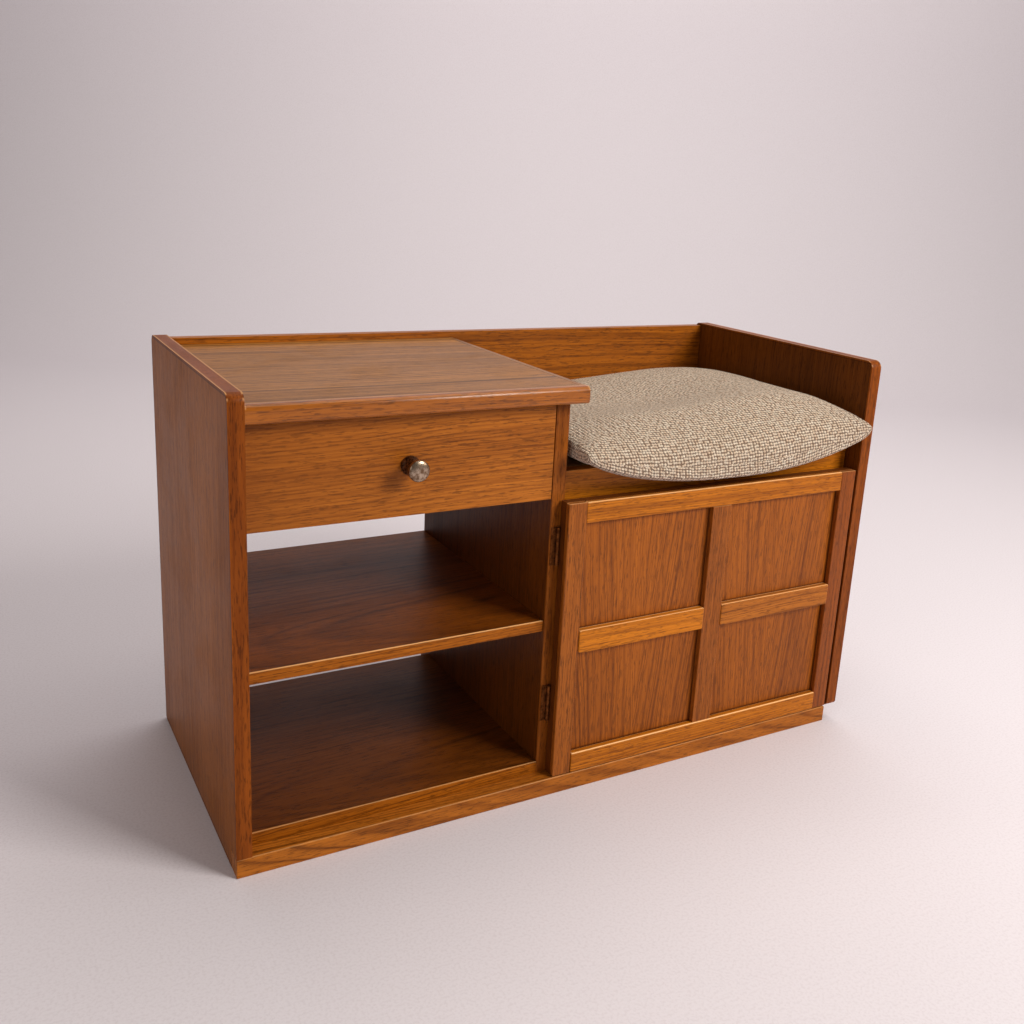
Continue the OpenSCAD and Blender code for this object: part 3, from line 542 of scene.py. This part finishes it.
def make_knob():
    """A turned knob of tarnished nickel: a thin rosette, a hammered body, a groove and a disc head."""
    low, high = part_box("drawer_knob")
    plate_low, plate_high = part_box("knob_rosette")
    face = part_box("drawer_front")[0].y
    centre = Vector(((low.x + high.x) / 2, face, (low.z + high.z) / 2))
    length = face - low.y
    over = np.sin(np.linspace(0, 0.497 * np.pi, 16))
    share = np.concatenate([np.linspace(0, KNOB_RIM, 75)[:-1], KNOB_RIM + (1 - KNOB_RIM) * over])
    radius = knob_radius(share, (plate_high.x - plate_low.x) / 2, (high.x - low.x) / 2)
    hammered = soft_step(share, 0.10, 0.20) * (1 - soft_step(share, 0.66, 0.72))
    piece = turned_piece("turned_knob", share * length, radius, hammered, centre)
    piece.data.materials.append(aged_metal("knob_nickel", srgb(178, 158, 138), srgb(112, 86, 66), 0.24,
                                           patch_rate=170.0, dents=0.25, dent_rate=600.0))
    piece.data.materials.append(aged_metal("knob_tarnish", srgb(120, 96, 78), srgb(34, 22, 16), 0.34,
                                           patch_rate=420.0, dents=0.7, dent_rate=900.0))
    middles = np.empty(len(piece.data.polygons) * 3)
    piece.data.polygons.foreach_get("center", middles)
    behind_head = face - middles.reshape(-1, 3)[:, 1] < KNOB_HEAD * length
    piece.data.polygons.foreach_set("material_index", behind_head.astype(np.int32))
    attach(piece, "drawer")
    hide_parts("drawer_knob")
    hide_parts("knob_rosette")


# ---------------------------------------------------------------- eased edges

def ease_edges():
    """Rounds every board's arrises a little, as sanding does; side panels and rails more.

    The radii are in millimetres.
    """
    usual = 0.6
    rounding = {"left_side_panel": 2.0, "right_side_panel": 2.0, "divider_panel": 1.2,
                "tabletop_nosing": 1.5, "door_left_mid_rail": 2.0, "door_right_mid_rail": 2.0,
                "door_bottom_rail": 2.0, "door_left_stile": 1.4, "door_right_stile": 1.4,
                "door_top_rail": 1.6, "mid_shelf": 1.2, "drawer_front": 1.0, "plinth_front_board": 1.2}
    skip = ("hinge", "screw", "knob", "pegs", "cushion", "catch")
    for name, piece in nodes.items():
        if any(word in name for word in skip):
            continue
        weld = piece.modifiers.new("weld", "WELD")
        weld.merge_threshold = 0.01 * MM
        bevel = piece.modifiers.new("eased", "BEVEL")
        bevel.width = rounding.get(name, usual) * MM
        bevel.segments = 3
        bevel.limit_method = "ANGLE"
        bevel.angle_limit = math.radians(40)
        bevel.harden_normals = False


# ---------------------------------------------------------------- cushion

# Heights of the cover's seam above the seat at its corners, its sag along the front, the crown in
# the middle and how it leans to the front right, the hollow from sitting, and the lower face's depth.
FRONT_LEFT, FRONT_RIGHT, BACK_LEFT, BACK_RIGHT = 32 * MM, 31 * MM, 14 * MM, 41 * MM
FRONT_SAG, CROWN, CROWN_LEAN, HOLLOW, BELLY = 31 * MM, 33 * MM, 0.65, 19 * MM, 34 * MM
ROLL = 27 * MM              # the cover rolls over within this much in front of the seat's rail
CLEAR = 0.3 * MM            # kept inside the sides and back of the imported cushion
SPREAD = 9 * MM             # how far the front right corner spreads sideways, before the side panel


def cushion_sheet(count_across, count_along):
    """Flat-cloth places on one face of the cover, 0 to 1 both ways, closer together at its edges."""
    def row(count):
        even = np.linspace(0, 1, count)
        return even - 0.85 * np.sin(2 * np.pi * even) / (2 * np.pi)
    across, along = np.meshgrid(row(count_across), row(count_along), indexing="ij")
    return across, along


def soft_step(value, low, high):
    """0 below low, 1 above high, smooth between."""
    part = np.clip((value - low) / (high - low), 0, 1)
    return part * part * (3 - 2 * part)


def cushion_forms(across, along):
    """Upper and lower face of the slack cushion.

    With s and t from -1 to 1 across and along, the fullness is (1 - |s|^2.25)^0.36 (1 - |t|^2.7)^0.36.
    The seam round the rim lies at a height of its own at each corner, blended between them, and sags
    at the front. Each corner is rounded in plan, and the front right one spreads a little past the
    side panel that it lies in front of. The upper face rises from the seam by the crown's height
    times the fullness, less the hollow that sitting has left. The lower one falls from it, but no
    lower than what it lies on: the seat, and in front of the seat's rail a sagging roll.
    """
    low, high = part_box("seat_cushion")
    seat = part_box("seat_board")[1].z
    rail_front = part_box("seat_front_rail")[0].y
    pull = 4 * across * (1 - across)
    pull_along = 4 * along * (1 - along)
    inset = 1.5 * MM
    left, right = low.x + inset, high.x - inset
    front, back = low.y + 1 * MM, high.y - inset
    side_waist = 9 * MM * pull_along * (1 - 2 * across)
    end_waist = 6 * MM * pull * (along > 0.5) * (2 * along - 1)
    x = left + (right - left) * across + side_waist
    y = front + (back - front) * along - end_waist
    panel_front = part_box("right_side_panel")[0].y
    corner = np.abs((2 * across - 1) * (2 * along - 1)) ** 24
    x -= 4 * MM * corner * np.sign(across - 0.5)
    y += 3 * MM * corner * np.sign(0.5 - along)
    x += SPREAD * across ** 8 * (1 - soft_step(y, low.y + 2 * MM, panel_front - 3 * MM))
    full_across = (1 - np.abs(2 * across - 1) ** 2.25) ** 0.36
    full = full_across * (1 - np.abs(2 * along - 1) ** 2.7) ** 0.36
    corners = (FRONT_LEFT * (1 - across) * (1 - along) + FRONT_RIGHT * across * (1 - along)
               + BACK_LEFT * (1 - across) * along + BACK_RIGHT * across * along)
    seam = seat + corners - FRONT_SAG * pull ** 0.8 * (1 - soft_step(along, 0.0, 0.25))
    crown = CROWN * (1 + CROWN_LEAN * (across - 0.5) - CROWN_LEAN * (along - 0.5))
    hollow = HOLLOW * np.exp(-((across - 0.45) / 0.28) ** 2 - ((along - 0.45) / 0.25) ** 2)
    upper = seam + crown * full - hollow
    rolled = 1 - soft_step(y, rail_front - ROLL, rail_front - 1.5 * MM)
    rest = seat + 0.8 * MM - 18 * MM * rolled
    lower = np.maximum(seam - BELLY * full ** 0.8, rest)
    return np.stack([x, y, upper], -1), np.stack([x, y, lower], -1)


def cloth_lengths(face):
    """How far the cloth has run at each point of a face, across and along, from its middle."""
    def run(axis):
        step = np.linalg.norm(np.diff(face, axis=axis), axis=-1)
        total = np.concatenate([np.zeros_like(np.take(step, [0], axis)), np.cumsum(step, axis)], axis)
        middle = np.take(total, [total.shape[axis] // 2], axis)
        return total - middle
    return np.stack([run(0), run(1)], -1)


def cushion_mesh(name, count_across, count_along):
    """Joins the two faces of the cover at their rim into one closed mesh; its UVs are cloth lengths."""
    across, along = cushion_sheet(count_across, count_along)
    upper, lower = cushion_forms(across, along)
    index = np.arange(count_across * count_along).reshape(count_across, count_along)
    rim = np.zeros((count_across, count_along), bool)
    rim[[0, -1], :] = rim[:, [0, -1]] = True
    under = np.where(rim, index, -1)
    under[~rim] = index.size + np.arange((~rim).sum())
    points = np.concatenate([upper.reshape(-1, 3), lower[~rim]])

    quads = grid_quads(index)
    made = new_piece(name, points, np.concatenate([quads, grid_quads(under)[:, ::-1]]).tolist())
    aside = np.array([1.0, 0.0])      # the lower face's cloth lies a metre beside the upper one's
    uv = np.concatenate([cloth_lengths(upper).reshape(-1, 2)[quads.reshape(-1)],
                         cloth_lengths(lower).reshape(-1, 2)[quads[:, ::-1].reshape(-1)] + aside])
    layer = made.data.uv_layers.new(name="cloth")
    layer.data.foreach_set("uv", uv.reshape(-1))
    return made


def read_points(mesh):
    """A mesh's vertices as an array."""
    points = np.empty(len(mesh.vertices) * 3)
    mesh.vertices.foreach_get("co", points)
    return points.reshape(-1, 3)


def write_points(mesh, points):
    """Puts an array back into a mesh's vertices."""
    mesh.vertices.foreach_set("co", points.reshape(-1))
    mesh.update()


def swell(piece, pressure, frames, cap):
    """Fills the cover by cloth simulation with inner pressure and no weight, no point past cap."""
    start = read_points(piece.data)
    cloth = piece.modifiers.new("fill", "CLOTH")
    settings = cloth.settings
    settings.quality = 5
    settings.mass = 0.35
    settings.tension_stiffness = settings.compression_stiffness = 12
    settings.shear_stiffness = 6
    settings.bending_stiffness = 1.2
    settings.use_pressure = True
    settings.uniform_pressure_force = pressure
    settings.effector_weights.gravity = 0
    cloth.collision_settings.use_collision = False
    cloth.point_cache.frame_start, cloth.point_cache.frame_end = 1, frames
    scene = bpy.context.scene
    for step in range(1, frames + 1):
        scene.frame_set(step)
    evaluated = piece.evaluated_get(bpy.context.evaluated_depsgraph_get())
    moved = read_points(evaluated.data)
    piece.modifiers.remove(cloth)
    scene.frame_set(1)
    step = moved - start
    length = np.linalg.norm(step, axis=1, keepdims=True)
    write_points(piece.data, start + step * np.minimum(1, cap / np.maximum(length, 1e-9)))


def settle(points):
    """Lays the cover on the seat and keeps it clear of the rail, the boards beside it and the back."""
    low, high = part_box("seat_cushion")
    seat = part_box("seat_board")[1].z
    rail_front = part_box("seat_front_rail")[0].y
    x, y, z = points[:, 0], points[:, 1], points[:, 2]
    hang = 19 * MM * (1 - soft_step(y, rail_front - ROLL, rail_front - 1.5 * MM))
    points[:, 2] = np.maximum(z, seat + 0.6 * MM - hang)
    panel_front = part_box("right_side_panel")[0].y
    spill = SPREAD * (1 - soft_step(y, low.y + 4 * MM, panel_front - 2 * MM))
    points[:, 0] = np.clip(x, low.x + CLEAR, high.x - CLEAR + spill)
    points[:, 1] = np.minimum(y, high.y - CLEAR)
    return points


def make_tweed():
    """Nubby tweed: beige loops in ribs that run front to back, on the cloth's own lengths.

    Each loop is a cell about one pitch across and along, a little out of place; a rib's profile
    |sin(pi u / pitch)| sinks the gaps between ribs more than those between loops, and painted shade darkens the sunken gaps.
    """
    made, tree, shader = new_material("oatmeal_tweed")
    flat = add(tree, "ShaderNodeUVMap", uv_map="cloth").outputs[0]
    across_pitch, along_pitch = 4.6 * MM, 4.0 * MM
    drift = add(tree, "ShaderNodeTexNoise",
                {"Vector": flat, "Scale": 16.0, "Detail": 2.0}).outputs["Color"]
    strayed = vectors(tree, "ADD", flat, vectors(tree, "MULTIPLY", drift, (5 * MM, 5 * MM, 0)))
    placed = vectors(tree, "MULTIPLY", strayed, (1 / across_pitch, 1 / along_pitch, 1))
    loop = add(tree, "ShaderNodeTexVoronoi", {"Vector": placed, "Scale": 1.0, "Randomness": 0.28},
               voronoi_dimensions="2D").outputs
    round_loop = spread(tree, loop["Distance"], 0.12, 0.62, 1.0, 0.0)
    parts = add(tree, "ShaderNodeSeparateXYZ", {"Vector": placed}).outputs
    rib = sums(tree, "ABSOLUTE", sums(tree, "SINE", sums(tree, "MULTIPLY", parts["X"], math.pi)))
    nub = sums(tree, "MULTIPLY", round_loop, spread(tree, rib, 0.0, 0.7, 0.35, 1.0))
    fibre = noise(tree, flat, (1100, 1100, 100), detail=2)
    slub = noise(tree, flat, (170, 110, 100), detail=3)
    height = sums(tree, "MULTIPLY_ADD", fibre, 0.4, nub)
    height = sums(tree, "MULTIPLY_ADD", slub, 0.5, height)
    one_loop = add(tree, "ShaderNodeSeparateColor", {"Color": loop["Color"]}).outputs["Red"]
    yarn = tint(tree, spread(tree, slub, 0.38, 0.62), srgb(255, 238, 218), srgb(240, 212, 186))
    yarn = tint(tree, spread(tree, one_loop, 0.55, 1.0, 0.0, 0.40), yarn, srgb(184, 150, 122))
    yarn = tint(tree, spread(tree, fibre, 0.55, 0.75, 0.0, 0.4), yarn, srgb(252, 234, 214))
    # Painted shade: the low gaps between loops are tinted dark.
    colour = tint(tree, spread(tree, nub, 0.05, 0.60, 0.90, 0.0), yarn, srgb(102, 76, 58))
    feed(tree, shader.inputs["Base Color"], colour)
    feed(tree, shader.inputs["Normal"], add(tree, "ShaderNodeBump", {
        "Strength": 1.0, "Distance": 2.2 * MM, "Height": height}).outputs[0])
    shader.inputs["Roughness"].default_value = 0.92
    shader.inputs["Sheen Weight"].default_value = 0.12
    shader.inputs["Sheen Roughness"].default_value = 0.6
    shader.inputs["Specular IOR Level"].default_value = 0.15
    return made


def make_cushion():
    """The loose seat cushion."""
    piece = cushion_mesh("tweed_cushion", 84, 76)
    swell(piece, pressure=2.0, frames=10, cap=5 * MM)
    write_points(piece.data, settle(read_points(piece.data)))
    piece.data.materials.append(make_tweed())
    smooth = piece.modifiers.new("smooth", "SUBSURF")
    smooth.levels = smooth.render_levels = 1
    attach(piece, "cushion")
    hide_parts("seat_cushion")
    return piece


# ---------------------------------------------------------------- studio

VIEW_HEADING = math.radians(-30.105)       # which way the camera faces, turned from +Y
VIEW_TILT, VIEW_ROLL = math.radians(75.241), math.radians(3.137)
VIEW_PLACE = (-0.70667, -1.23255, 0.78147)
SENSOR_WIDTH, LENS = 36, 36.967            # millimetres
FRAMING_SHIFT = (-0.02085, -0.05261)       # shares of the picture's width
WARM = (1.0, 0.95, 0.86)


def studio_place(aside, ahead, height):
    """A point given to the right of, ahead of and above the bench, as the camera faces it."""
    return (aside * math.cos(VIEW_HEADING) - ahead * math.sin(VIEW_HEADING),
            aside * math.sin(VIEW_HEADING) + ahead * math.cos(VIEW_HEADING), height)


def make_backdrop():
    """A pale floor that sweeps up into a wall: one profile of floor, quarter round and wall."""
    reach, back, bend, wall, half_width = 6.0, 2.6, 1.5, 6.0, 9.0
    turn = np.linspace(0, np.pi / 2, 40)
    ahead = np.concatenate([[-reach], back + bend * np.sin(turn), [back + bend]])
    height = np.concatenate([[0], bend * (1 - np.cos(turn)), [wall]])
    aside = np.linspace(-half_width, half_width, 3)
    x, y, z = studio_place(aside[:, None], ahead[None], height[None])
    grid = np.stack(np.broadcast_arrays(x, y, z), -1)
    index = np.arange(grid.shape[0] * grid.shape[1]).reshape(grid.shape[:2])
    piece = new_piece("backdrop", grid.reshape(-1, 3), grid_quads(index).tolist())
    made, tree, shader = new_material("pale_backdrop")
    grit = noise(tree, object_position(tree), (300, 300, 300), detail=2)
    feed(tree, shader.inputs["Base Color"], tint(tree, spread(tree, grit, 0.4, 0.75),
                                                 srgb(229, 223, 232), srgb(221, 214, 223)))
    shader.inputs["Roughness"].default_value = 0.75
    shader.inputs["Specular IOR Level"].default_value = 0.2
    piece.data.materials.append(made)


def area_light(name, place, target, size, power):
    """A warm softbox at a place, turned to face its target; power is in watts."""
    light = bpy.data.lights.new(name, "AREA")
    light.shape = "RECTANGLE"
    light.size, light.size_y = size
    light.energy = power
    light.color = WARM
    lamp = bpy.data.objects.new(name, light)
    bpy.context.scene.collection.objects.link(lamp)
    lamp.location = place
    lamp.rotation_euler = (Vector(target) - Vector(place)).to_track_quat("-Z", "Y").to_euler()
    return lamp


def make_lights():
    """A key softbox high on the right, a top light, a weak fill and a wash on the backdrop."""
    area_light("key", (1.5, -2.25, 1.95), (0.1, 0.0, 0.25), (1.2, 1.2), 84)
    area_light("overhead", (0.4, 0.2, 2.8), (0.1, 0.2, 0.0), (2.2, 2.2), 24)
    area_light("left_fill", (-2.6, -1.6, 1.3), (-0.2, 0.0, 0.2), (1.6, 1.6), 15)
    area_light("wall_wash", studio_place(0.2, 1.5, 3.6), studio_place(0.2, 4.1, 1.3), (4.0, 1.2), 76)
    world = bpy.data.worlds.new("studio")
    bpy.context.scene.world = world
    world.use_nodes = True
    background = world.node_tree.nodes["Background"]
    background.inputs["Color"].default_value = srgb(226, 217, 208)
    background.inputs["Strength"].default_value = 0.16


def make_camera():
    """The bench seen from its left front, a little from above."""
    data = bpy.data.cameras.new("camera")
    data.sensor_width, data.lens = SENSOR_WIDTH, LENS
    data.shift_x, data.shift_y = FRAMING_SHIFT
    camera = bpy.data.objects.new("camera", data)
    bpy.context.scene.collection.objects.link(camera)
    turn = (Matrix.Rotation(VIEW_HEADING, 4, "Z") @ Matrix.Rotation(VIEW_TILT, 4, "X")
            @ Matrix.Rotation(VIEW_ROLL, 4, "Z"))
    camera.matrix_world = Matrix.Translation(VIEW_PLACE) @ turn
    bpy.context.scene.camera = camera


make_camera()
dress_side_panels()
dress_tabletop()
dress_shelves()
dress_plinth_and_rails()
dress_drawer()
dress_plywood()
dress_door()
dress_metalwork()
make_knob()
ease_edges()
make_cushion()
make_backdrop()
make_lights()
bpy.context.scene.view_settings.view_transform = "Standard"
